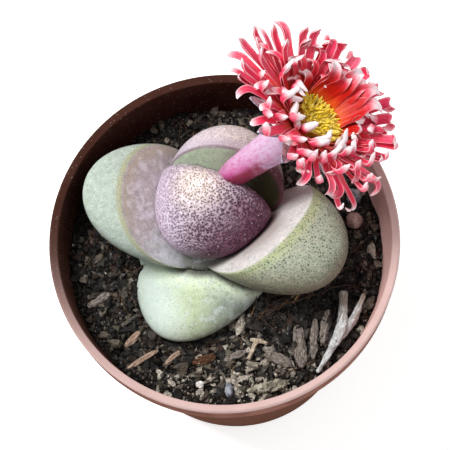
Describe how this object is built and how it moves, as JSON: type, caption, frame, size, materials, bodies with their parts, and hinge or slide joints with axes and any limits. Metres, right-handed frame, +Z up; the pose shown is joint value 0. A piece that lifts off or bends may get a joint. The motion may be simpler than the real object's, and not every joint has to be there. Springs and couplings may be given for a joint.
{
  "type": "potted split rock",
  "caption": "Split rock plant with thick half-egg leaves in opposite pairs and a daisy-like flower on a stout stalk, growing in compost in a round tapered nursery pot.",
  "frame": {"origin": "centre of the pot's flat underside", "axes": "+Z up from the pot's base to the flower; the flower leans towards +X; -Y is the side nearest a person who looks down on the pot"},
  "size_m": [0.1032, 0.1, 0.1484],
  "materials": {
    "pot": "satin moulded plastic, dusty terracotta pink",
    "soil": "loose dark compost with grit",
    "root_stem": "rough woody stem",
    "leaf_outer_left": "waxy succulent skin, pale mint with fine dots",
    "leaf_outer_right": "waxy succulent skin, grey-green with dark dots",
    "leaf_inner_front": "waxy succulent skin, plum purple with dense dark dots",
    "leaf_inner_back": "waxy succulent skin, pale pink back and green face",
    "leaf_old_front": "waxy succulent skin, pale mint",
    "flower_stalk": "smooth pink-lilac stalk and grey-lilac sepals",
    "petals": "satiny coral red petals with white curled tips",
    "stamens": "yellow filaments",
    "grey_twig": "weathered dry twig",
    "tan_twig": "dry broken twig",
    "wood": "split wood",
    "bark": "weathered dark bark",
    "orange_bark": "fresh orange-brown bark",
    "stone": "rounded dull stone",
    "grit": "bluish white grit",
    "moss": "dry grey-green moss crumb",
    "perlite": "white expanded mineral grain"
  },
  "bodies": {
    "root": {"pot": "pot", "soil": "soil", "root_stem": "root_stem", "leaf_outer_left": "leaf_outer_left", "leaf_outer_right": "leaf_outer_right", "leaf_inner_front": "leaf_inner_front", "leaf_inner_back": "leaf_inner_back", "leaf_old_front": "leaf_old_front", "flower_stalk": "flower_stalk", "petals": "petals", "stamens": "stamens", "grey_twig": "grey_twig", "tan_twig": "tan_twig", "wood_sliver_1": "wood", "wood_sliver_2": "wood", "wood_sliver_3": "wood", "bark_chip_1": "bark", "bark_chip_2": "bark", "bark_chip_3": "bark", "bark_chip_4": "bark", "bark_chip_5": "bark", "bark_chip_6": "bark", "bark_strip": "orange_bark", "pebble": "stone", "blue_stone": "grit", "moss_lump": "moss", "grit_shard": "grit", "perlite_grain": "perlite"}
  },
  "joints": []
}
